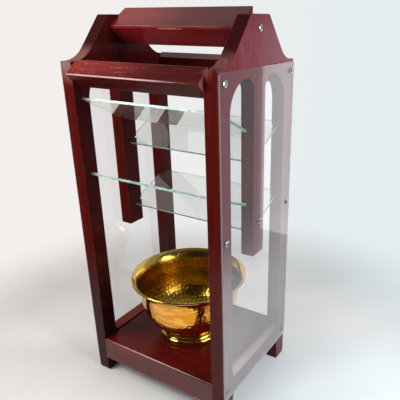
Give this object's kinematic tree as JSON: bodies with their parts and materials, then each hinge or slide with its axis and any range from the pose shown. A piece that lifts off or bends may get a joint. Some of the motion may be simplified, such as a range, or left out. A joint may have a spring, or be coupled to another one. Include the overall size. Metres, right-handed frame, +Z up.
{
  "type": "coin cascade stand",
  "caption": "Table-top cascade stand: coins dropped between its top rails zig-zag down tilted glass panes, set between gabled wooden sides, into a loose hammered brass bowl.",
  "frame": {"origin": "on the floor at the middle of the stand", "axes": "+X to the right, +Y to the back, +Z up"},
  "size_m": [0.2436, 0.203, 0.5385],
  "materials": {
    "stained_wood": "mahogany stain under semi-gloss varnish",
    "base_wood": "mahogany stain under semi-gloss varnish, darker",
    "pane_glass": "clear, green at the cut edges",
    "clear_sheet": "clear, polished",
    "screw_steel": "bright plated",
    "hammered_brass": "polished, hammered inside",
    "polished_brass": "polished"
  },
  "bodies": {
    "frame": {"left_side_board": "stained_wood", "right_side_board": "stained_wood", "handle_bar": "stained_wood", "front_top_rail": "stained_wood", "back_top_rail": "stained_wood", "base_board": "base_wood", "upper_front_pane": "pane_glass", "upper_back_pane": "pane_glass", "lower_front_pane": "pane_glass", "lower_back_pane": "pane_glass", "left_side_panel": "clear_sheet", "right_side_panel": "clear_sheet", "left_rail_screws": "screw_steel", "right_rail_screws": "screw_steel", "left_base_screws": "screw_steel", "right_base_screws": "screw_steel", "left_panel_screws": "screw_steel", "right_panel_screws": "screw_steel", "left_handle_screw": "screw_steel", "right_handle_screw": "screw_steel"},
    "bowl": {"bowl_shell": "hammered_brass", "bowl_foot_ring": "polished_brass"}
  },
  "joints": [
    {"name": "bowl_slide", "type": "slide", "parent": "frame", "child": "bowl", "axis": [0, -1, 0], "range_m": [0, 0.2]}
  ]
}
